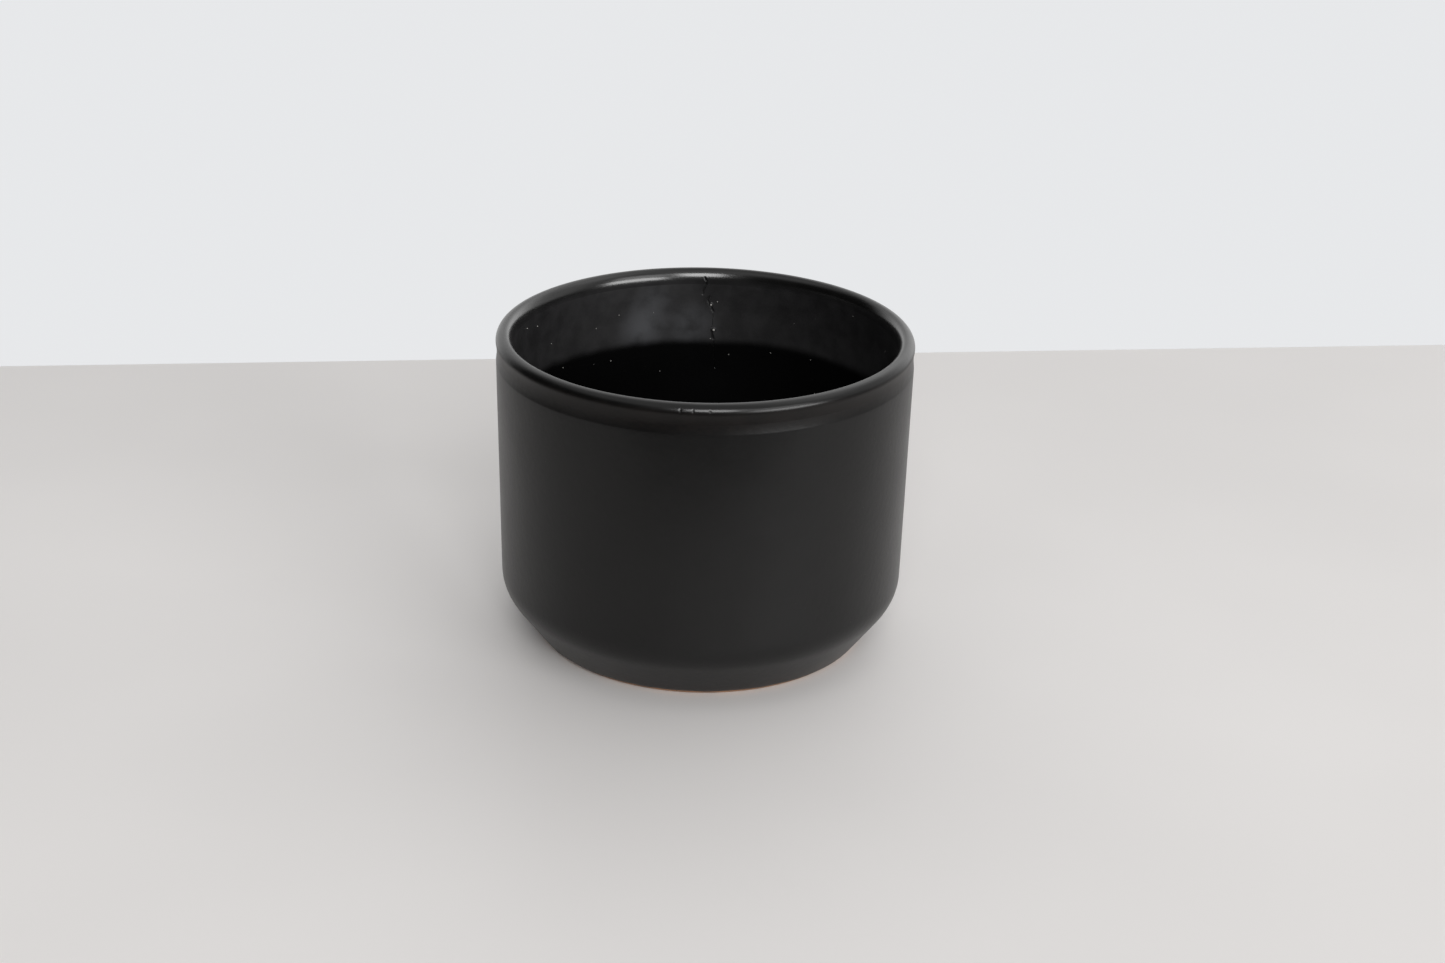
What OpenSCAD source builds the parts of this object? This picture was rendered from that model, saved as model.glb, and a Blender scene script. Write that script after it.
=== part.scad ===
// Empty candle jar: a round stoneware vessel with a rounded lip, a shallow neck under the lip, slightly
// leaning walls, a chamfered shoulder that runs down to the foot, and glaze coats on the clay.
// Millimetres, +Z up, origin at the centre of the foot ring, on the surface that the jar stands on.
// Every section is drawn as radius and height, and turned about Z.

/* [Vessel] */
// Diameter over the lip
lip_d = 102.5; // [90:0.5:130]
// Height from the foot to the top of the lip
height = 78.8; // [60:0.1:110]
// Thickness of the fully rounded lip
lip_w = 4.2; // [3:0.1:5]
// Height of the lip's inner rounding, which falls away more slowly than the outer one
lip_fall = 3.4; // [2.5:0.1:3.6]
// Lean of the outside wall, in degrees: level with the lip at the neck, narrower towards the foot
outer_lean = 0.9; // [0:0.1:2]
// Lean of the inside wall, in degrees: narrower towards the floor
inner_lean = 1.2; // [0.5:0.1:2]

/* [Neck under the lip] */
// How far the bottom of the neck lies inside the lip
neck_depth = 0.25; // [0.2:0.01:0.5]
// Height from the top of the lip down to the bottom of the neck
neck_drop = 4.8; // [4:0.1:6]
// Radius that eases the neck into the wall
neck_ease = 2.5; // [0.6:0.1:3]

/* [Shoulder and foot] */
// Height at which the straight wall and the straight chamfer would meet
corner_z = 13.1; // [11:0.1:18]
// Slope of the chamfer, in degrees from the vertical
chamfer = 36.8; // [25:0.1:45]
// Radius that rounds the wall into the chamfer
shoulder_r = 10.5; // [6:0.1:14]
// Radius of the outer lower edge of the foot
foot_edge = 1.2; // [0.8:0.1:1.5]
// Width of the flat ring that the jar stands on
foot_w = 3.4; // [2:0.1:6]
// Radius of the inner lower edge of the foot ring
ring_edge = 0.8; // [0.4:0.1:1]
// Depth of the recess inside the foot ring
recess = 2; // [1.8:0.1:3]

/* [Inside] */
// Thickness of the floor
floor_t = 4.5; // [3.5:0.1:8]
// Radius of the inside corner between the wall and the floor
inner_r = 12; // [10:0.1:14]

/* [Glaze] */
// Thickness of each glaze coat
glaze_t = 0.4; // [0.2:0.05:0.5]
// Height of the wiped line where the outside coat stops
wipe_z = 0.9; // [0.8:0.05:1.2]
// Height from the top of the lip down to where the lip coat meets the liner coat
liner_drop = 4; // [3.8:0.1:6]
// Angle round the recess corner at which the underside coat stops, in degrees above the horizontal
recess_stop = 30; // [20:1:60]

/* [Hidden] */

// Largest turn between two points on a round stretch, in degrees
arc_step = 4;
full_turn = 256;
glaze_colour = [0.05, 0.05, 0.052];
rim_colour = [0.1, 0.09, 0.085];
liner_colour = [0.03, 0.03, 0.032];
clay_colour = [0.55, 0.38, 0.25];

// A unit vector at an angle, and a point at an angle round a centre
function unit(angle) = [cos(angle), sin(angle)];
function arc(centre, r, from, to) =
    let (steps = max(2, ceil(abs(to - from) / arc_step)))
    [for (i = [0:steps]) centre + r * unit(from + (to - from) * i / steps)];

// A point under an oval at a depth, where its outward normal has an angle, and a stretch of such points without
// its first one
function on_oval(centre, across, up, depth, angle) =
    let (n = unit(angle))
    centre + [across * across * n.x, up * up * n.y] / norm([across * n.x, up * n.y]) - depth * n;
function oval(centre, across, up, depth, from, to) =
    let (steps = ceil(abs(to - from) / arc_step))
    [for (i = [1:steps]) on_oval(centre, across, up, depth, from + (to - from) * i / steps)];

function backwards(path) = [for (i = [len(path) - 1:-1:0]) path[i]];
function bearing(from, to) = atan2(to.y - from.y, to.x - from.x);

// Lip
lip_r = lip_w / 2;
lip_c = [lip_d / 2 - lip_r, height - lip_r];
fall_c = [lip_c.x, height - lip_fall];

// Neck: a hollow arc that touches the lip's arc
neck_z = height - neck_drop;
neck_p = [lip_d / 2 - neck_depth, neck_z];
neck_r = (pow(neck_p.x - lip_c.x, 2) + pow(neck_z - lip_c.y, 2) - pow(lip_r, 2)) / (2 * neck_depth);
neck_c = neck_p + [neck_r, 0];
lip_start = bearing(lip_c, neck_c);

// Outside wall: its outward normal, its upward direction and a point on it
wall_n = unit(-outer_lean);
wall_up = unit(90 - outer_lean);
wall_p = [lip_d / 2, neck_z];

// Ease: a round edge that touches both the wall and the neck's arc
neck_off = (neck_c - wall_p) * wall_n + neck_ease;
ease_c = neck_c - neck_off * wall_n - sqrt(pow(neck_r + neck_ease, 2) - pow(neck_off, 2)) * wall_up;
ease_end = bearing(ease_c, neck_c);

// Shoulder and chamfer
chamfer_n = unit(-chamfer);
chamfer_up = unit(90 - chamfer);
corner = [wall_p.x - (neck_z - corner_z) * tan(outer_lean), corner_z];
shoulder_c = corner - shoulder_r * (wall_n + chamfer_n) / (1 + wall_n * chamfer_n);
wipe_p = corner - (corner_z - wipe_z) / cos(chamfer) * chamfer_up;

// Foot ring: its outer edge touches the ground and the bare clay's chamfer
clay_corner = corner - glaze_t * chamfer_n;
foot_x = clay_corner.x + ((foot_edge - clay_corner.y) * sin(chamfer) - foot_edge) / cos(chamfer);
foot_c = [foot_x, foot_edge];
ring_c = [foot_x - foot_w, ring_edge];
recess_r = recess - ring_edge;
recess_c = [ring_c.x - ring_edge - recess_r, recess - recess_r];

// Inside: the wall touches the lip's inner rounding, and the corner touches the wall and the floor
floor_z = recess + floor_t;
inner_n = unit(180 - inner_lean);
inner_up = unit(90 - inner_lean);
inner_p = on_oval(fall_c, lip_r, lip_fall, 0, 180 - inner_lean);
seam_p = inner_p - (liner_drop - lip_fall) * inner_up;
corner_up = floor_z + inner_r;
corner_in = (inner_r - (corner_up - inner_p.y) * sin(inner_lean)) / cos(inner_lean);
inner_c = [inner_p.x - corner_in, corner_up];

// Paths along the finished surface, or at a depth under it: the depth is 0 on a coat and glaze_t on the clay
function outside_path(depth) = concat(
    [wipe_p - depth * chamfer_n],
    arc(shoulder_c, shoulder_r - depth, -chamfer, -outer_lean),
    arc(ease_c, neck_ease - depth, -outer_lean, ease_end),
    arc(neck_c, neck_r + depth, 180 + ease_end, 180));
function lip_path(depth) = concat(
    arc(neck_c, neck_r + depth, 180, 180 + lip_start),
    arc(lip_c, lip_r - depth, lip_start, 90),
    oval(fall_c, lip_r, lip_fall, depth, 90, 180 - inner_lean),
    [seam_p - depth * inner_n]);
function inside_path(depth) = concat(
    [seam_p - depth * inner_n],
    arc(inner_c, inner_r + depth, -inner_lean, -90),
    [[0, floor_z - depth]]);

// Path over the ceiling of the recess, or standing proud of it by the coat's thickness
function recess_path(proud) = concat(
    [[0, recess - proud]],
    arc(recess_c, recess_r - proud, 90, recess_stop));

module turned(outline, colour) {
    color(colour) rotate_extrude($fn = full_turn) polygon(outline);
}

// A coat between the clay's path and the finished path above it
module coat(finished, on_clay, colour) {
    turned(concat(finished, backwards(on_clay)), colour);
}

// Fired clay: floor, wall, lip and foot ring in one piece, set back by the coats wherever it is glazed
module clay_body() {
    turned(concat(
        [[0, recess]],
        arc(recess_c, recess_r, 90, 0),
        arc(ring_c, ring_edge, 180, 270),
        arc(foot_c, foot_edge, -90, -chamfer),
        outside_path(glaze_t),
        lip_path(glaze_t),
        inside_path(glaze_t)), clay_colour);
}

// Matte coat from the wiped line at the foot up to the bottom of the neck
module outer_glaze() {
    coat(outside_path(0), outside_path(glaze_t), glaze_colour);
}

// Glossier coat over the lip, from the bottom of the neck to just inside the mouth
module rim_glaze() {
    coat(lip_path(0), lip_path(glaze_t), rim_colour);
}

// Liner coat down the inside wall, round the inside corner and over the floor
module inner_glaze() {
    coat(inside_path(0), inside_path(glaze_t), liner_colour);
}

// Coat on the ceiling of the recess inside the foot ring
module underside_glaze() {
    coat(recess_path(glaze_t), recess_path(0), glaze_colour);
}

clay_body();
outer_glaze();
rim_glaze();
inner_glaze();
underside_glaze();
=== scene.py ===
import math
import random

import bmesh
import bpy
from bpy.props import FloatProperty, FloatVectorProperty, IntProperty, PointerProperty
from mathutils import Matrix, Vector, noise


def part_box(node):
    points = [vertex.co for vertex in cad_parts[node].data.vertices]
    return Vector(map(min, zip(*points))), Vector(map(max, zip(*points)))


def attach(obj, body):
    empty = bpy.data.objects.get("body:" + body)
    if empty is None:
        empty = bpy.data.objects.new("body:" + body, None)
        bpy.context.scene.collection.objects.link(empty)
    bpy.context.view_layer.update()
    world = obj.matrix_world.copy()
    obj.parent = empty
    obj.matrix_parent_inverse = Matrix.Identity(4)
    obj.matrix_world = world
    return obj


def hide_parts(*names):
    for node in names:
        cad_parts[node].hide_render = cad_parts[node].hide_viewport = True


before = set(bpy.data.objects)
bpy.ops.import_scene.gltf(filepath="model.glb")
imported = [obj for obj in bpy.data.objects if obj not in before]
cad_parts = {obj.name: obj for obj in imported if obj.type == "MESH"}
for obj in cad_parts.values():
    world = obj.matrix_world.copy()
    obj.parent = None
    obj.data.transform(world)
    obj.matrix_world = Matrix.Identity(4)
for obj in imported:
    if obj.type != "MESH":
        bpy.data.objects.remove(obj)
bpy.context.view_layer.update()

bl_info = {
    "name": "Stoneware Candle Jar",
    "version": (1, 0, 0),
    "blender": (4, 5, 0),
    "location": "3D View > Sidebar > Jar",
    "description": "Turns the clay and the glaze coats of an empty candle jar, with their finishes",
    "category": "Add Mesh",
}

MM = 0.001
LIP_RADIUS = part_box("rim_glaze")[1].x
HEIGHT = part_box("rim_glaze")[1].z
NECK_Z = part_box("outer_glaze")[1].z
WIPE_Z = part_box("outer_glaze")[0].z


# ---------------------------------------------------------------- settings that a user would change


def length(name, description, default, high=1.0):
    """A length in metres, shown in the scene's unit."""
    return FloatProperty(name=name, description=description, default=default, min=0, max=high,
                         unit="LENGTH", precision=5)


def angle(name, description, degrees):
    """An angle that the panel shows in degrees."""
    return FloatProperty(name=name, description=description, default=math.radians(degrees),
                         subtype="ANGLE")


def colour(name, description, rgb):
    """A linear colour."""
    return FloatVectorProperty(name=name, description=description, default=rgb, size=3, min=0, max=1,
                               subtype="COLOR")


def amount(name, description, default, high=1.0):
    """A plain number with no unit."""
    return FloatProperty(name=name, description=description, default=default, min=0, max=high)


class JarSizes(bpy.types.PropertyGroup):
    """The section of the jar."""

    lip_width: length("Lip", "Thickness of the fully rounded lip", 4.2 * MM)
    lip_fall: length("Lip fall", "Height of the lip's inner rounding", 3.4 * MM)
    outer_lean: angle("Outer lean", "Lean of the outside wall", 0.9)
    inner_lean: angle("Inner lean", "Lean of the inside wall", 1.2)
    neck_depth: length("Neck depth", "How far the bottom of the neck lies inside the lip", 0.25 * MM)
    neck_ease: length("Neck ease", "Radius that eases the neck into the wall", 2.5 * MM)
    corner_z: length("Corner height", "Where the wall and the chamfer would meet", 13.1 * MM)
    chamfer: angle("Chamfer", "Slope of the chamfer from the vertical", 36.8)
    shoulder_radius: length("Shoulder", "Radius that rounds the wall into the chamfer", 10.5 * MM)
    foot_edge: length("Foot edge", "Radius of the outer lower edge of the foot", 1.2 * MM)
    foot_width: length("Foot width", "Width of the ring that the jar stands on", 3.4 * MM)
    ring_edge: length("Ring edge", "Radius of the inner lower edge of the foot ring", 0.8 * MM)
    recess: length("Recess", "Depth of the recess inside the foot ring", 2.0 * MM)
    floor: length("Floor", "Thickness of the floor", 4.5 * MM)
    inner_radius: length("Inside corner", "Radius between the wall and the floor", 12.0 * MM)
    glaze: length("Glaze", "Thickness of each coat", 0.4 * MM)
    liner_drop: length("Lip coat", "How far the lip coat reaches down inside", 4.0 * MM)
    recess_stop: angle("Underside edge", "Where the underside coat stops on the recess corner", 30)
    steps: IntProperty(name="Steps", description="Segments round the jar", default=320, min=48, max=640)


class JarWear(bpy.types.PropertyGroup):
    """Small unevenness of the fired surface, and its marks."""

    wave: length("Waves", "Depth of the slow waves in the glaze", 0.06 * MM)
    nick_depth: length("Nicks", "Depth of the small nicks in the front of the lip", 0.1 * MM)
    wipe_wander: length("Wiped edge", "How far the wiped edge of the glaze wanders", 0.3 * MM)
    crack_width: length("Crack width", "Width of the crack in the liner coat", 0.55 * MM)
    crack_depth: length("Crack depth", "Depth of the crack in the liner coat", 0.3 * MM)
    fill_drop: length("Fill line", "Height from the lip down to the old fill line", 19.4 * MM)
    specks: IntProperty(name="Specks", description="Tiny crumbs on the inside wall", default=90, min=0)


class JarColours(bpy.types.PropertyGroup):
    """Colours of the clay, the coats, the marks on them and the floor."""

    matte: colour("Matte glaze", "Outside coat", (0.0040, 0.0039, 0.0039))
    brown: colour("Broken brown", "Glaze where it is thin over the clay", (0.0105, 0.0062, 0.0045))
    lip: colour("Lip glaze", "Coat over the lip", (0.0060, 0.0058, 0.0057))
    liner: colour("Liner glaze", "Inside coat above the fill line", (0.017, 0.0165, 0.0172))
    well: colour("Filled liner", "Inside coat below the fill line", (0.0026, 0.0026, 0.0027))
    # Colour of the painted highlights on the inside wall: it stands for a window's reflection, not for wax.
    painted_highlight: colour("Smears", "Old wax above the fill line", (0.082, 0.084, 0.091))
    clay: colour("Clay", "Bare fired clay", (0.27, 0.15, 0.085))
    # Also the colour of the painted glints on the crack's beads.
    speck_and_glint: colour("Crumbs", "Specks on the inside wall", (0.62, 0.60, 0.57))
    ground: colour("Floor", "Pale studio floor", (0.89, 0.865, 0.85))


class StudioSizes(bpy.types.PropertyGroup):
    """Camera, board and lights."""

    camera_distance: length("Camera distance", "From the jar's axis", 0.5794, high=5)
    camera_height: length("Camera height", "Above the floor", 0.2844, high=5)
    camera_pitch: angle("Camera pitch", "How far the camera looks down", 22.972)
    camera_yaw: angle("Camera yaw", "Turn of the camera to the left", -0.4926)
    camera_roll: angle("Camera roll", "Turn of the camera about its own view", 1.3905)
    camera_lens: FloatProperty(name="Lens", description="Focal length on a 36 mm sensor, in mm",
                               default=62.55, min=10)
    board_width: length("Board width", "Width of the pale board", 0.62)
    board_back: length("Board back", "From the jar's axis to the back edge of the board", 0.197)
    board_front: length("Board front", "From the jar's axis to the front edge of the board", 0.175)
    board_turn: angle("Board turn", "Turn of the board to the left", 6)
    front_window: amount("Front window", "Light above the camera, in watts", 27.0, 200)
    side_window: amount("Side window", "Light at the right of the camera, in watts", 6.5, 200)
    low_window: amount("Low window", "Light low at the right of the camera, in watts", 32.0, 200)
    back_glow: amount("Back glow", "Brightness of the wall behind the jar", 0.80, 10)
    top_glow: amount("Top glow", "Brightness overhead", 0.45, 10)
    right_glow: amount("Right glow", "Brightness behind the jar at its right", 0.5, 10)


# ---------------------------------------------------------------- the section, drawn as radius and height

ARC_TURN = math.radians(5)
QUARTER = math.pi / 2
HALF_TURN = math.pi


def unit(turn):
    return Vector((math.cos(turn), math.sin(turn)))


def arc(centre, radius, start, end):
    """Points from one angle to another round a centre."""
    steps = max(2, math.ceil(abs(end - start) / ARC_TURN))
    return [centre + radius * unit(start + (end - start) * i / steps) for i in range(steps + 1)]


def on_oval(centre, across, up, depth, turn):
    """A point under an oval at a depth, where its outward normal has an angle."""
    out = unit(turn)
    stretch = math.hypot(across * out.x, up * out.y)
    return centre + Vector((across ** 2 * out.x, up ** 2 * out.y)) / stretch - depth * out


def oval(centre, across, up, depth, start, end):
    """Points from one angle to another under an oval, without the first one."""
    steps = math.ceil(abs(end - start) / ARC_TURN)
    turns = [start + (end - start) * i / steps for i in range(1, steps + 1)]
    return [on_oval(centre, across, up, depth, turn) for turn in turns]


def bearing(start, end):
    return math.atan2(end.y - start.y, end.x - start.x)


class Section:
    """Centres and directions of the jar's section, worked out from its sizes.
    A path follows the finished surface, or lies at a depth under it."""

    def __init__(self, s):
        self.s = s
        self.lip_r = s.lip_width / 2
        self.lip_c = Vector((LIP_RADIUS - self.lip_r, HEIGHT - self.lip_r))
        self.fall_c = Vector((self.lip_c.x, HEIGHT - s.lip_fall))
        neck = Vector((LIP_RADIUS - s.neck_depth, NECK_Z))
        across, down = neck - self.lip_c
        self.neck_r = (across ** 2 + down ** 2 - self.lip_r ** 2) / (2 * s.neck_depth)
        self.neck_c = neck + Vector((self.neck_r, 0))
        self.lip_start = bearing(self.lip_c, self.neck_c)
        wall_out, wall_up = unit(-s.outer_lean), unit(QUARTER - s.outer_lean)
        wall = Vector((LIP_RADIUS, NECK_Z))
        off = (self.neck_c - wall).dot(wall_out) + s.neck_ease
        along = math.sqrt((self.neck_r + s.neck_ease) ** 2 - off ** 2)
        self.ease_c = self.neck_c - off * wall_out - along * wall_up
        self.ease_end = bearing(self.ease_c, self.neck_c)
        self.chamfer_out = unit(-s.chamfer)
        self.chamfer_up = unit(QUARTER - s.chamfer)
        self.corner = Vector((wall.x - (NECK_Z - s.corner_z) * math.tan(s.outer_lean), s.corner_z))
        spread = 1 + wall_out.dot(self.chamfer_out)
        self.shoulder_c = self.corner - s.shoulder_radius * (wall_out + self.chamfer_out) / spread
        self.wipe = self.corner - (s.corner_z - WIPE_Z) / math.cos(s.chamfer) * self.chamfer_up
        clay = self.corner - s.glaze * self.chamfer_out
        rise = (s.foot_edge - clay.y) * math.sin(s.chamfer) - s.foot_edge
        foot_x = clay.x + rise / math.cos(s.chamfer)
        self.foot_c = Vector((foot_x, s.foot_edge))
        self.ring_c = Vector((foot_x - s.foot_width, s.ring_edge))
        self.recess_r = s.recess - s.ring_edge
        self.recess_c = Vector((self.ring_c.x - s.ring_edge - self.recess_r, s.ring_edge))
        self.floor_z = s.recess + s.floor
        self.inner_out = unit(HALF_TURN - s.inner_lean)
        self.inner_up = unit(QUARTER - s.inner_lean)
        start = on_oval(self.fall_c, self.lip_r, s.lip_fall, 0, HALF_TURN - s.inner_lean)
        self.seam_p = start - (s.liner_drop - s.lip_fall) * self.inner_up
        top = self.floor_z + s.inner_radius
        reach = (s.inner_radius - (top - start.y) * math.sin(s.inner_lean)) / math.cos(s.inner_lean)
        self.inner_c = Vector((start.x - reach, top))

    def outside(self, depth):
        s = self.s
        return ([self.wipe - depth * self.chamfer_out]
                + arc(self.shoulder_c, s.shoulder_radius - depth, -s.chamfer, -s.outer_lean)
                + arc(self.ease_c, s.neck_ease - depth, -s.outer_lean, self.ease_end)
                + arc(self.neck_c, self.neck_r + depth, HALF_TURN + self.ease_end, HALF_TURN))

    def seam(self, depth):
        """Where the lip coat meets the liner coat."""
        return self.seam_p - depth * self.inner_out

    def lip(self, depth):
        s = self.s
        return (arc(self.neck_c, self.neck_r + depth, HALF_TURN, HALF_TURN + self.lip_start)
                + arc(self.lip_c, self.lip_r - depth, self.lip_start, QUARTER)
                + oval(self.fall_c, self.lip_r, s.lip_fall, depth, QUARTER, HALF_TURN - s.inner_lean)
                + [self.seam(depth)])

    def inside(self, depth):
        s = self.s
        return ([self.seam(depth)]
                + arc(self.inner_c, s.inner_radius + depth, -s.inner_lean, -QUARTER)
                + [Vector((0, self.floor_z - depth))])

    def underside(self, proud):
        s = self.s
        return ([Vector((0, s.recess - proud))]
                + arc(self.recess_c, self.recess_r - proud, QUARTER, s.recess_stop))

    def foot(self):
        s = self.s
        return ([Vector((0, s.recess))]
                + arc(self.recess_c, self.recess_r, QUARTER, 0)
                + arc(self.ring_c, s.ring_edge, HALF_TURN, HALF_TURN + QUARTER)
                + arc(self.foot_c, s.foot_edge, -QUARTER, -s.chamfer))

    def wall_point(self, sideways, drop):
        """A point on the inside wall: sideways from the middle of the back, and down from the lip."""
        radius = self.seam(0).x - (drop - self.s.liner_drop) * math.tan(self.s.inner_lean)
        turn = QUARTER - sideways / radius
        return Vector((radius * math.cos(turn), radius * math.sin(turn), HEIGHT - drop))

    def lip_point(self, sideways, rise):
        """A point on the outer rounding of the lip, sideways from the middle of the front."""
        spot = self.lip_c + self.lip_r * unit(rise)
        turn = sideways / spot.x - QUARTER
        return Vector((spot.x * math.cos(turn), spot.x * math.sin(turn), spot.y))


def evened(path, longest):
    """The same path, with long straight stretches divided so that no step is longer."""
    points = [path[0]]
    for start, end in zip(path, path[1:]):
        count = max(1, math.ceil((end - start).length / longest))
        points += [start.lerp(end, i / count) for i in range(1, count + 1)]
    return points


# ---------------------------------------------------------------- turning and finishing a mesh

SEEN = "seen"
# Two points of a path that are nearer than this have no edge between them.
NO_EDGE = 1e-9
# Points of a mesh that are nearer than this become one.
MERGED = 1e-7
# Heights that differ by less than this count as one.
LEVEL = 1e-6
# A corner is shaded sharp when it turns by more than this.
SHARP = math.radians(55)
# Slow waves in the glaze: share of the depth, and the size of one wave.
WAVES = ((0.6, 19 * MM), (0.4, 7 * MM))


def turned(shown, hidden, steps, closed=True):
    """A solid of revolution: the shown path and the hidden one behind it, spun about the jar's axis."""
    bm = bmesh.new()
    seen = bm.verts.layers.float.new(SEEN)
    verts = []
    for path, value in ((shown, 1.0), (hidden, 0.0)):
        for point in path:
            vert = bm.verts.new((point.x, 0, point.y))
            vert[seen] = value
            verts.append(vert)
    pairs = list(zip(verts, verts[1:])) + ([(verts[-1], verts[0])] if closed else [])
    edges = [bm.edges.new(pair) for pair in pairs if (pair[0].co - pair[1].co).length > NO_EDGE]
    bmesh.ops.spin(bm, geom=verts + edges, cent=(0, 0, 0), axis=(0, 0, 1), angle=2 * math.pi,
                   steps=steps, use_merge=True)
    bmesh.ops.remove_doubles(bm, verts=bm.verts, dist=MERGED)
    bmesh.ops.recalc_face_normals(bm, faces=bm.faces)
    bm.normal_update()
    return bm


def outwards(bm):
    """For each vertex of the shown surface, the direction out of it. The coat's cut ends don't count."""
    seen = bm.verts.layers.float[SEEN]
    out = {}
    for vert in bm.verts:
        if vert[seen] > 0.5:
            faces = [f for f in vert.link_faces if all(v[seen] > 0.5 for v in f.verts)]
            out[vert] = sum((f.normal for f in faces), Vector()).normalized()
    return out


def waved(bm, depth):
    """Presses slow waves into the shown surface. They depend on the place alone, so the coats still meet."""
    for vert, out in outwards(bm).items():
        wave = sum(share * noise.noise(vert.co / size) for share, size in WAVES)
        vert.co -= out * depth * (0.5 + 0.5 * wave)


def finer(bm, close, cuts):
    """Divides the edges of the shown surface wherever close says so."""
    seen = bm.verts.layers.float[SEEN]
    chosen = {v for v in bm.verts if v[seen] > 0.5 and close(v.co)}
    edges = [e for e in bm.edges if e.verts[0] in chosen and e.verts[1] in chosen]
    bmesh.ops.subdivide_edges(bm, edges=edges, cuts=cuts, use_grid_fill=True)
    bm.normal_update()


def rounded_ring(bm, height, offset):
    """Rounds the cut edge of a coat, all the way round the jar at one height."""
    seen = bm.verts.layers.float[SEEN]

    def on_edge(vert):
        return vert[seen] > 0.5 and abs(vert.co.z - height) < LEVEL and vert.co.xy.length > 5 * MM

    ring = [e for e in bm.edges if all(on_edge(v) for v in e.verts)]
    bmesh.ops.bevel(bm, geom=ring, offset=offset, segments=3, affect="EDGES", profile=0.5, material=-1)


def finished(bm, name, material, nodes):
    """Makes a piece of the mesh, gives it its finish and its body, and hides the CAD nodes that it stands
    for.
    """
    mesh = bpy.data.meshes.new(name)
    bm.to_mesh(mesh)
    bm.free()
    mesh.shade_smooth()
    mesh.set_sharp_from_angle(angle=SHARP)
    piece = bpy.data.objects.new(name, mesh)
    bpy.context.scene.collection.objects.link(piece)
    mesh.materials.append(material)
    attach(piece, "root")
    if nodes:
        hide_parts(*nodes)
    return piece


# ---------------------------------------------------------------- nicks in the lip, and the crack

# Nicks in the outer rounding of the lip: sideways from the middle of the front, and half their width, in mm.
NICKS = ((-5.4, 0.34), (-2.5, 0.28), (1.4, 0.24))
# How far up the rounding the nicks lie, and how much taller they are than wide.
NICK_RISE = math.radians(20)
NICK_TALL = 2.6
# How far round a nick the mesh is finer.
NICK_FINE = 1.4 * MM


def nicked(bm, section, wear):
    """Presses the small upright nicks into the front of the lip."""
    spots = [(section.lip_point(side * MM, NICK_RISE), wide * MM) for side, wide in NICKS]
    finer(bm, lambda co: co.y < 0 and min((co - spot).length for spot, _ in spots) < NICK_FINE, 5)
    for vert, out in outwards(bm).items():
        if vert.co.y > 0 or abs(vert.co.x) > 9 * MM:
            continue
        for spot, wide in spots:
            away = vert.co - spot
            reach = math.hypot(away.x / wide, away.yz.length / (NICK_TALL * wide))
            if reach < 1:
                vert.co -= out * wear.nick_depth * (1 - reach ** 2) ** 2


# Each stretch of the crack as points sideways from the middle of the back and down from the lip, in mm,
# and its share of the full width.
CRACK = (
    (1.0, ((-0.5, 2.0), (0.0, 3.2), (-0.1, 4.2), (-0.8, 5.4), (-1.0, 6.6))),
    (0.9, ((0.8, 7.2), (0.4, 8.2), (0.6, 9.0), (1.2, 10.0), (1.9, 11.4))),
    (0.45, ((1.9, 11.4), (1.7, 13.4), (1.6, 15.4), (1.4, 16.6))),
    (1.3, ((1.4, 16.6), (1.6, 17.6), (2.0, 18.8))),
    (0.6, ((2.0, 18.8), (2.2, 21.0), (2.3, 24.0), (2.6, 27.0))),
)
# Beads of glaze on the crack: sideways, down, radius across and height, in mm.
BEADS = ((1.25, 9.4, 0.5, 0.36), (2.1, 16.3, 0.6, 0.42))
MARK = "crack"
# The part of the wall that holds it: to each side of the middle of the back, and down from the lip.
CRACK_SIDE = 5 * MM
CRACK_DROP = 30 * MM
# How far beside it the mesh is finer, and how far and how often its edges wander.
CRACK_FINE = 1.3 * MM
RAGGED = 0.2 * MM
RAGGED_EVERY = 0.8 * MM


def from_stretch(place, start, end):
    """How far a place is from a straight stretch."""
    line = end - start
    along = max(0.0, min(1.0, (place - start).dot(line) / line.length_squared))
    return (place - start - along * line).length


def cracked(bm, section, wear):
    """Cuts the crack into the shown surface, after making the mesh finer beside it, and raises its beads."""
    lines = []
    for width, points in CRACK:
        places = [section.wall_point(side * MM, drop * MM) for side, drop in points]
        lines += [(start, end, width) for start, end in zip(places, places[1:])]
    beads = [(section.wall_point(side * MM, drop * MM), across * MM, high * MM)
             for side, drop, across, high in BEADS]

    def near(co):
        return co.y > 0 and abs(co.x) < CRACK_SIDE and HEIGHT - co.z < CRACK_DROP

    def close(co):
        return near(co) and min(from_stretch(co, start, end) for start, end, _ in lines) < CRACK_FINE

    finer(bm, close, 9)
    mark = bm.verts.layers.float.new(MARK)
    for vert, out in outwards(bm).items():
        if not near(vert.co):
            continue
        wander = Vector([noise.noise(vert.co / RAGGED_EVERY + Vector((k, 0, 0))) for k in (0, 7, 13)])
        place = vert.co + RAGGED * wander
        depth = 0.0
        for start, end, width in lines:
            away = from_stretch(place, start, end) / (0.5 * wear.crack_width * width)
            depth = max(depth, (1 - away ** 2) * min(1.0, width)) if away < 1 else depth
        rise = 0.0
        for spot, across, high in beads:
            away = (vert.co - spot).length / across
            rise = max(rise, high * (1 - away ** 2) ** 0.7) if away < 1 else rise
        vert[mark] = 0.0 if rise else depth
        vert.co += out * (rise if rise else -depth * wear.crack_depth)


# ---------------------------------------------------------------- shader trees written as sums


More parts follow.
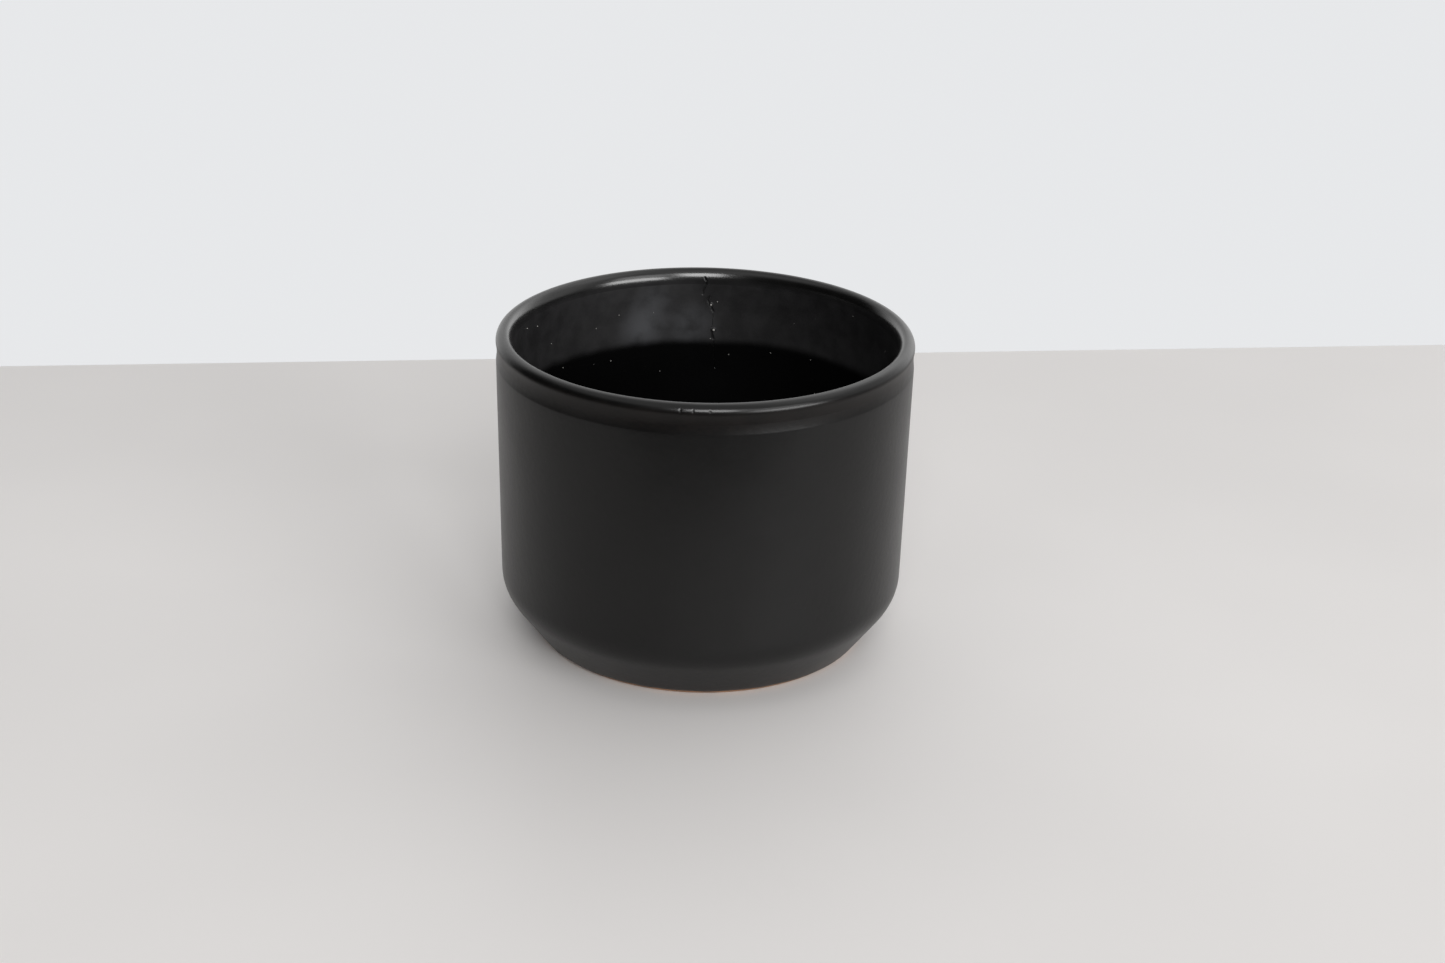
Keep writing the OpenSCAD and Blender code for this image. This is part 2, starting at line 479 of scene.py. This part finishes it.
class Number:
    """A number in a shader tree. Arithmetic on it adds the Math nodes."""

    def __init__(self, tree, socket):
        self.tree, self.socket = tree, socket

    def math(self, operation, *values):
        return self.tree.add("ShaderNodeMath", {"operation": operation}, dict(enumerate(values)))

    def __add__(self, other):
        return self.math("ADD", self, other)

    def __sub__(self, other):
        return self.math("SUBTRACT", self, other)

    def __rsub__(self, other):
        return self.math("SUBTRACT", other, self)

    def __mul__(self, other):
        return self.math("MULTIPLY", self, other)

    __radd__ = __add__

    def over(self, low, high):
        """0 under low, 1 over high, and a smooth rise between."""
        values = {"Value": self, "From Min": low, "From Max": high}
        return self.tree.add("ShaderNodeMapRange", {"interpolation_type": "SMOOTHSTEP"}, values)


class Tree:
    """A shader tree, with one method that adds any node."""

    def __init__(self, tree):
        self.tree = tree

    def add(self, kind, settings, values, output=0):
        """Adds a node, sets it up, fills or links its sockets, and gives back one of its outputs."""
        node = self.tree.nodes.new(kind)
        for key, value in settings.items():
            setattr(node, key, value)
        for key, value in values.items():
            self.put(value, node.inputs[key])
        return Number(self, node.outputs[output])

    def put(self, value, socket):
        if isinstance(value, Number):
            self.tree.links.new(value.socket, socket)
        else:
            socket.default_value = value


# Share of a dot's radius over which it fades.
DOT_SOFTNESS = 0.4


class Finish(Tree):
    """A Principled material whose patterns are fixed to the jar, and measured from its middle."""

    def __init__(self, name, **constants):
        self.material = bpy.data.materials.new(name)
        self.material.use_nodes = True
        super().__init__(self.material.node_tree)
        self.surface = self.tree.nodes["Principled BSDF"]
        for socket, value in constants.items():
            self.surface.inputs[socket.replace("_", " ")].default_value = value
        self.from_foot = self.add("ShaderNodeTexCoord", {}, {}, "Object")
        lowered = {"Vector": self.from_foot, "Location": (0, 0, -HEIGHT / 2)}
        self.from_middle = self.add("ShaderNodeMapping", {}, lowered)
        self.height = self.add("ShaderNodeSeparateXYZ", {}, {"Vector": self.from_foot}, "Z")
        flat = self.add("ShaderNodeVectorMath", {"operation": "MULTIPLY"}, {0: self.from_foot, 1: (1, 1, 0)})
        self.radius = self.add("ShaderNodeVectorMath", {"operation": "LENGTH"}, {0: flat}, "Value")

    def set(self, **sockets):
        """Links what changes over the surface to the Principled sockets of those names."""
        for name, value in sockets.items():
            self.put(value, self.surface.inputs[name.replace("_", " ")])
        return self.material

    def grain(self, size, detail=2.0, roughness=0.5):
        """Smooth noise with lumps of about that size, from 0 to 1."""
        values = {"Vector": self.from_middle, "Scale": 1 / size, "Detail": detail, "Roughness": roughness}
        return self.add("ShaderNodeTexNoise", {}, values)

    def dots(self, spacing, radius):
        """Separate round dots of that radius, 1 in the middle and 0 outside."""
        values = {"Vector": self.from_middle, "Scale": 1 / spacing, "Randomness": 1.0}
        away = self.add("ShaderNodeTexVoronoi", {"feature": "F1"}, values, "Distance") * spacing
        return 1 - away.over(radius * (1 - DOT_SOFTNESS), radius)

    def mix(self, share, first, second):
        """A colour between two others."""
        ends = [c if isinstance(c, Number) else (*c, 1) for c in (first, second)]
        return self.add("ShaderNodeMix", {"data_type": "RGBA"}, {"Factor": share, 6: ends[0], 7: ends[1]}, 2)

    def bumps(self, *layers):
        """A normal with one bump for each height and its depth in metres."""
        normal = None
        for height, depth in layers:
            values = {"Height": height, "Distance": depth, "Strength": 1.0}
            if normal:
                values["Normal"] = normal
            normal = self.add("ShaderNodeBump", {}, values)
        return normal

    def spot(self, centre, reach):
        """1 at a place on the jar, fading to 0 at that distance from it."""
        ends = {0: self.from_foot, 1: centre}
        away = self.add("ShaderNodeVectorMath", {"operation": "DISTANCE"}, ends, "Value")
        return 1 - away.over(0.0, reach)

    def mark(self, name):
        """A value that is painted on the mesh."""
        return self.add("ShaderNodeAttribute", {"attribute_name": name}, {}, "Fac")

    def clouded(self, clouds, colour, spread):
        """A colour that drifts darker and lighter by that share."""
        darker, lighter = [[c * k for c in colour] for k in (1 - spread, 1 + spread)]
        return self.mix(clouds.over(0.3, 0.7), darker, lighter)


def glaze_skin(finish, peel):
    """Normal of a fired coat: orange peel, fine tooth and scattered pinholes."""
    pinholes = finish.dots(2.6 * MM, 0.14 * MM) * finish.grain(6 * MM).over(0.5, 0.62)
    return finish.bumps((finish.grain(1.5 * MM, 3.0), 0.03 * MM * peel),
                        (finish.grain(0.26 * MM, 2.0, 0.6), 0.008 * MM),
                        (1 - pinholes, 0.05 * MM))


FLECK = (0.12, 0.115, 0.11)
CRACK_ON_LIP = (0.0008, 0.0008, 0.0008)
CRACK_ON_LINER = (0.0006, 0.0006, 0.0006)


def matte_finish(name, colours):
    """Matte black outside coat: cloudy, brown under the lip and at the wiped edge, with faint specks."""
    f = Finish(name, IOR=1.39)
    clouds = f.grain(14 * MM, 3.0)
    fine = f.grain(0.9 * MM, 2.0)
    under_lip = f.height.over(NECK_Z - 3.0 * MM, NECK_Z - 0.4 * MM)
    at_wipe = 1 - f.height.over(WIPE_Z + 0.1 * MM, WIPE_Z + 0.9 * MM)
    thin = (under_lip * 0.3 + at_wipe) * fine.over(0.2, 0.7)
    broken = f.mix(thin, f.clouded(clouds, colours.matte, 0.14), colours.brown)
    flecks = f.dots(5.2 * MM, 0.13 * MM) * f.grain(9 * MM).over(0.54, 0.6)
    coloured = f.mix(flecks * 0.6, broken, FLECK)
    rough = 0.36 + (clouds - 0.5) * 0.08 + (fine - 0.5) * 0.06 + thin * 0.04
    return f.set(Base_Color=coloured, Roughness=rough, Normal=glaze_skin(f, 1.0))


def lip_finish(colours, lip_width):
    """Coat over the lip: like the outside coat at the neck, glossy over the rounding, hazy like the liner
    inside."""
    f = Finish("rim_glaze", IOR=1.32, Coat_Roughness=0.2, Coat_IOR=1.65)
    clouds = f.grain(7 * MM, 3.0)
    outer = f.radius.over(LIP_RADIUS - lip_width / 2, LIP_RADIUS - lip_width / 4)
    inner = 1 - f.radius.over(LIP_RADIUS - lip_width * 0.8, LIP_RADIUS - lip_width * 0.6)
    neck = outer * (1 - f.height.over(HEIGHT - 2.1 * MM, HEIGHT - 1.0 * MM))
    mouth = inner * (1 - f.height.over(HEIGHT - 4.0 * MM, HEIGHT - 1.8 * MM))
    thin = neck * clouds.over(0.15, 0.6)
    coloured = f.mix(thin * 0.25, f.clouded(clouds, colours.lip, 0.18), colours.brown)
    hazy = f.mix(mouth, coloured, f.clouded(f.grain(5 * MM, 3.0), colours.liner, 0.25))
    crack = f.mark(MARK)
    rough = 0.30 + neck * 0.06 + mouth * 0.1 + (clouds - 0.5) * 0.08 + crack * 0.3
    return f.set(Base_Color=f.mix(crack, hazy, CRACK_ON_LIP), Roughness=rough,
                 Coat_Weight=(1 - neck) * (1 - mouth) * (1 - crack) * (0.42 + inner * 0.58),
                 Normal=glaze_skin(f, 0.5))


# Painted highlights, lighter patches painted on the inside wall where a window's reflection falls: sideways
# from the middle of the back, down from the lip, reach in mm, and share.
PAINTED_HIGHLIGHTS = (
    (-17.0, 15.5, 9.0, 0.8),
    (-14.0, 9.0, 8.0, 0.4),
    (-4.0, 15.5, 9.0, 0.55),
)


def liner_finish(colours, wear, section):
    """Liner coat: hazy and pitted above the old fill line, darker and smoother below it, with painted
    highlights where a window's reflection falls.
    """
    f = Finish("liner_glaze", IOR=1.5)
    wander = (f.grain(16 * MM, 2.0) - 0.5) * (1.8 * MM)
    fill = HEIGHT - wear.fill_drop
    dry = (f.height + wander).over(fill - 1.4 * MM, fill + 1.4 * MM)
    hazy = 1 - f.height.over(fill + 4 * MM, fill + 13 * MM)
    clouds = f.grain(5 * MM, 3.0)
    coloured = f.mix(dry, colours.well, f.clouded(clouds, colours.liner, 0.25))
    # Painted highlights: lighter patches on the back of the inside wall, painted where a window's reflection
    # falls.
    for side, drop, reach, share in PAINTED_HIGHLIGHTS:
        painted_highlight = f.spot(section.wall_point(side * MM, drop * MM), reach * MM)
        coloured = f.mix(painted_highlight * dry * clouds.over(0.1, 0.6) * share, coloured, colours.painted_highlight)
    crack = f.mark(MARK)
    rough = 0.22 + dry * (0.18 + hazy * 0.16) + (clouds - 0.5) * 0.08 + crack * 0.3
    return f.set(Base_Color=f.mix(crack, coloured, CRACK_ON_LINER), Roughness=rough,
                 Normal=glaze_skin(f, 1.2))


def clay_finish(colours):
    """Bare stoneware: warm, dry and sandy."""
    f = Finish("fired_clay", IOR=1.5)
    sand = f.grain(0.7 * MM, 4.0, 0.65)
    grog = f.dots(1.4 * MM, 0.2 * MM)
    stained = f.clouded(f.grain(7 * MM, 3.0), colours.clay, 0.25)
    coloured = f.mix(grog * 0.7, stained, [c * 0.35 for c in colours.clay])
    normal = f.bumps((sand, 0.06 * MM), (1 - grog, 0.03 * MM))
    return f.set(Base_Color=coloured, Roughness=0.86 + (sand - 0.5) * 0.1, Normal=normal)


def speck_and_glint_finish(colours):
    """Pale waxy specks, and the painted glints on the crack's beads."""
    f = Finish("crumbs", IOR=1.45)
    tint = f.grain(1.0 * MM, 2.0)
    base = f.mix(tint, [c * 0.6 for c in colours.speck_and_glint], colours.speck_and_glint)
    return f.set(Base_Color=base, Roughness=0.5 + tint * 0.2, Normal=f.bumps((tint, 0.02 * MM)))


def ground_finish(colours):
    """Plain pale studio floor."""
    f = Finish("studio_floor", IOR=1.45)
    soft = f.grain(120 * MM, 2.0)
    return f.set(Base_Color=f.clouded(soft, colours.ground, 0.02), Roughness=0.5 + soft * 0.05)


# ---------------------------------------------------------------- pieces

WALL_STEP = 1.2 * MM
FINE_STEP = 0.5 * MM


class JAR_OT_outer_coat(bpy.types.Operator):
    """Matte coat outside, from the wiped edge up to the neck"""

    bl_idname = "jar.outer_coat"
    bl_label = "Outside coat"

    def execute(self, context):
        sizes, wear = context.scene.jar_sizes, context.scene.jar_wear
        section = Section(sizes)
        bm = turned(evened(section.outside(0), WALL_STEP), section.outside(sizes.glaze)[::-1], sizes.steps)
        rounded_ring(bm, WIPE_Z, 0.22 * MM)
        waved(bm, wear.wave)
        self.wander(bm, section, wear.wipe_wander)
        finished(bm, "outer_coat", matte_finish("matte_glaze", context.scene.jar_colours),
                 ["outer_glaze"])
        return {"FINISHED"}

    def wander(self, bm, section, most):
        """Lets the wiped edge wander up the chamfer a little."""
        up = section.chamfer_up
        for vert in bm.verts:
            near = 1 - (vert.co.z - WIPE_Z) / (2.5 * MM)
            if near > 0:
                lift = most * min(1.0, near) * (0.5 + 0.5 * noise.noise(vert.co.xy.to_3d() / (3.5 * MM)))
                out = vert.co.xy.normalized() * up.x * lift
                vert.co += Vector((out.x, out.y, up.y * lift))


class JAR_OT_lip_coat(bpy.types.Operator):
    """Glossier coat over the rounded lip, with its nicks and the top of the crack"""

    bl_idname = "jar.lip_coat"
    bl_label = "Lip coat"

    def execute(self, context):
        sizes, wear = context.scene.jar_sizes, context.scene.jar_wear
        section = Section(sizes)
        bm = turned(evened(section.lip(0), FINE_STEP), section.lip(sizes.glaze)[::-1], sizes.steps)
        waved(bm, wear.wave)
        nicked(bm, section, wear)
        cracked(bm, section, wear)
        finished(bm, "lip_coat", lip_finish(context.scene.jar_colours, sizes.lip_width),
                 ["rim_glaze"])
        return {"FINISHED"}


class JAR_OT_liner_coat(bpy.types.Operator):
    """Liner coat inside, with its crack"""

    bl_idname = "jar.liner_coat"
    bl_label = "Liner coat"

    def execute(self, context):
        sizes, wear = context.scene.jar_sizes, context.scene.jar_wear
        section = Section(sizes)
        bm = turned(evened(section.inside(0), WALL_STEP), section.inside(sizes.glaze)[::-1], sizes.steps)
        waved(bm, wear.wave)
        cracked(bm, section, wear)
        finished(bm, "liner_coat", liner_finish(context.scene.jar_colours, wear, section),
                 ["inner_glaze"])
        return {"FINISHED"}


class JAR_OT_clay(bpy.types.Operator):
    """Fired clay, bare on the foot ring"""

    bl_idname = "jar.clay"
    bl_label = "Clay"

    def execute(self, context):
        sizes = context.scene.jar_sizes
        section = Section(sizes)
        outside, lip, inside = [path(sizes.glaze) for path in (section.outside, section.lip, section.inside)]
        covered = outside + lip[1:] + inside[1:]
        bm = turned(evened(section.foot(), FINE_STEP), covered, sizes.steps, closed=False)
        finished(bm, "clay", clay_finish(context.scene.jar_colours), ["clay_body"])
        return {"FINISHED"}


class JAR_OT_underside_coat(bpy.types.Operator):
    """Coat in the recess inside the foot ring"""

    bl_idname = "jar.underside_coat"
    bl_label = "Underside coat"

    def execute(self, context):
        sizes = context.scene.jar_sizes
        section = Section(sizes)
        shown = evened(section.underside(sizes.glaze), WALL_STEP)
        bm = turned(shown, section.underside(0)[::-1], sizes.steps)
        rounded_ring(bm, shown[-1].y, 0.2 * MM)
        material = matte_finish("foot_glaze", context.scene.jar_colours)
        finished(bm, "underside_coat", material, ["underside_glaze"])
        return {"FINISHED"}


class JAR_OT_specks_and_glints(bpy.types.Operator):
    """Tiny pale specks on the inside wall, and pale specks painted on the crack's beads as their glints"""

    bl_idname = "jar.crumbs"
    bl_label = "Crumbs"

    def execute(self, context):
        wear = context.scene.jar_wear
        section = Section(context.scene.jar_sizes)
        rng = random.Random(8)
        bm = bmesh.new()
        spots = []
        # Pale specks on top of the crack's beads are painted glints: they stand for the beads' highlights.
        for side, drop, _, high in BEADS:
            spot = section.wall_point(side * MM, drop * MM)
            spots.append((spot - spot.xy.normalized().to_3d() * high * MM, high * 0.6 * MM))
        for _ in range(wear.specks):
            side = rng.uniform(-HALF_TURN, HALF_TURN) * section.seam(0).x
            drop = rng.uniform(5, 55) * MM
            spots.append((section.wall_point(side, drop), rng.uniform(0.06, 0.15) * MM))
        for spot, size in spots:
            squash = [rng.uniform(0.7, 1.3) for _ in range(3)]
            shape = Matrix.Translation(spot) @ Matrix.Diagonal((*squash, 1))
            bmesh.ops.create_icosphere(bm, subdivisions=2, radius=size, matrix=shape)
        # This piece holds the real specks on the wall and the painted glints on the beads.
        finished(bm, "crumbs", speck_and_glint_finish(context.scene.jar_colours), [])
        return {"FINISHED"}


# ---------------------------------------------------------------- the studio


def heading(azimuth, elevation):
    """A direction from the jar. Azimuth 0 is towards the camera, and grows to its right."""
    turn, rise = math.radians(azimuth), math.radians(elevation)
    return Vector((math.sin(turn) * math.cos(rise), -math.cos(turn) * math.cos(rise), math.sin(rise)))


# Each glow of the room: its setting, azimuth, elevation, half-width and soft edge, in degrees.
GLOWS = (
    ("back_glow", 180, 5, 30, 35),
    ("top_glow", 0, 90, 30, 30),
    ("right_glow", 120, 30, 25, 30),
)
# Each window: its setting, azimuth and elevation in degrees, and its width and height in metres.
WINDOWS = (
    ("front_window", 4, 30, 1.1, 1.1),
    ("side_window", 44, 30, 1.4, 0.9),
    ("low_window", 44, 8, 1.7, 0.9),
)
WINDOW_DISTANCE = 2.6
BOARD_THICKNESS = 0.02
BOARD_EDGE = 1 * MM
BACKDROP = (0.80, 0.81, 0.825)


class JAR_OT_studio(bpy.types.Operator):
    """Pale board, soft lights and the camera"""

    bl_idname = "jar.studio"
    bl_label = "Studio"

    def execute(self, context):
        scene, s = context.scene, context.scene.jar_studio
        self.board(scene, s)
        self.room(scene, s)
        for name, azimuth, elevation, width, high in WINDOWS:
            self.window(scene, name, getattr(s, name), heading(azimuth, elevation), (width, high))
        self.camera(scene, s)
        scene.view_settings.view_transform = "Standard"
        return {"FINISHED"}

    def board(self, scene, s):
        bm = bmesh.new()
        deep = s.board_front + s.board_back
        shape = Matrix.Diagonal((s.board_width, deep, BOARD_THICKNESS, 1))
        middle = Matrix.Translation((0, s.board_back - deep / 2, -BOARD_THICKNESS / 2))
        bmesh.ops.create_cube(bm, size=1, matrix=Matrix.Rotation(s.board_turn, 4, "Z") @ middle @ shape)
        bmesh.ops.bevel(bm, geom=bm.edges[:], offset=BOARD_EDGE, segments=2, affect="EDGES", profile=0.5,
                        material=-1)
        mesh = bpy.data.meshes.new("studio_floor")
        bm.to_mesh(mesh)
        bm.free()
        board = bpy.data.objects.new("studio_floor", mesh)
        mesh.materials.append(ground_finish(scene.jar_colours))
        scene.collection.objects.link(board)

    def room(self, scene, s):
        """The room's glows light the jar, and the camera sees a plain pale backdrop."""
        world = bpy.data.worlds.new("room")
        world.use_nodes = True
        t = Tree(world.node_tree)
        t.tree.nodes.clear()
        way = t.add("ShaderNodeTexCoord", {}, {}, "Generated")
        total = None
        for name, azimuth, elevation, half, soft in GLOWS:
            towards = heading(azimuth, elevation)
            dot = t.add("ShaderNodeVectorMath", {"operation": "DOT_PRODUCT"}, {0: way, 1: towards}, "Value")
            edge, core = math.cos(math.radians(half + soft)), math.cos(math.radians(half))
            glow = dot.over(edge, core) * getattr(s, name)
            total = glow if total is None else total + glow
        lit = t.add("ShaderNodeBackground", {}, {"Color": (1.0, 1.0, 1.0, 1), "Strength": total})
        plain = t.add("ShaderNodeBackground", {}, {"Color": (*BACKDROP, 1), "Strength": 1.0})
        seen = t.add("ShaderNodeLightPath", {}, {}, "Is Camera Ray")
        both = t.add("ShaderNodeMixShader", {}, {0: seen, 1: lit, 2: plain})
        out = t.tree.nodes.new("ShaderNodeOutputWorld")
        t.put(both, out.inputs["Surface"])
        scene.world = world

    def window(self, scene, name, power, out, size):
        """A soft rectangular light, out from the jar that way."""
        light = bpy.data.lights.new(name, "AREA")
        light.shape = "RECTANGLE"
        light.size, light.size_y = size
        light.energy = power
        lamp = bpy.data.objects.new(name, light)
        lamp.location = Vector((0, 0, HEIGHT * 0.7)) + out * WINDOW_DISTANCE
        lamp.rotation_euler = (-out).to_track_quat("-Z", "Y").to_euler()
        lamp.visible_camera = False
        scene.collection.objects.link(lamp)

    def camera(self, scene, s):
        data = bpy.data.cameras.new("camera")
        data.sensor_width = 36
        data.lens = s.camera_lens
        data.clip_start, data.clip_end = 0.01, 20
        eye = bpy.data.objects.new("camera", data)
        turn = (Matrix.Rotation(s.camera_yaw, 4, "Z") @ Matrix.Rotation(QUARTER - s.camera_pitch, 4, "X")
                @ Matrix.Rotation(s.camera_roll, 4, "Z"))
        eye.matrix_world = Matrix.Translation((0, -s.camera_distance, s.camera_height)) @ turn
        scene.collection.objects.link(eye)
        scene.camera = eye


# ---------------------------------------------------------------- the panel and the add-on's ends

GROUPS = {
    "jar_sizes": JarSizes,
    "jar_wear": JarWear,
    "jar_colours": JarColours,
    "jar_studio": StudioSizes,
}
STEPS = (JAR_OT_studio, JAR_OT_clay, JAR_OT_outer_coat, JAR_OT_lip_coat, JAR_OT_liner_coat,
         JAR_OT_underside_coat, JAR_OT_specks_and_glints)


class JAR_PT_panel(bpy.types.Panel):
    """Lists the jar's steps and sizes"""

    bl_idname = "JAR_PT_panel"
    bl_label = "Candle jar"
    bl_space_type = "VIEW_3D"
    bl_region_type = "UI"
    bl_category = "Jar"

    def draw(self, context):
        for step in STEPS:
            self.layout.operator(step.bl_idname)
        for group, kind in GROUPS.items():
            box = self.layout.box()
            for name in kind.__annotations__:
                box.prop(getattr(context.scene, group), name)


CLASSES = (*GROUPS.values(), *STEPS, JAR_PT_panel)


def register():
    for cls in CLASSES:
        bpy.utils.register_class(cls)
    for name, kind in GROUPS.items():
        setattr(bpy.types.Scene, name, PointerProperty(type=kind))


def unregister():
    for name in GROUPS:
        delattr(bpy.types.Scene, name)
    for cls in reversed(CLASSES):
        bpy.utils.unregister_class(cls)


def main():
    """Builds everything in order."""
    register()
    for step in STEPS:
        area, name = step.bl_idname.split(".")
        getattr(getattr(bpy.ops, area), name)()


if __name__ == "__main__":
    main()
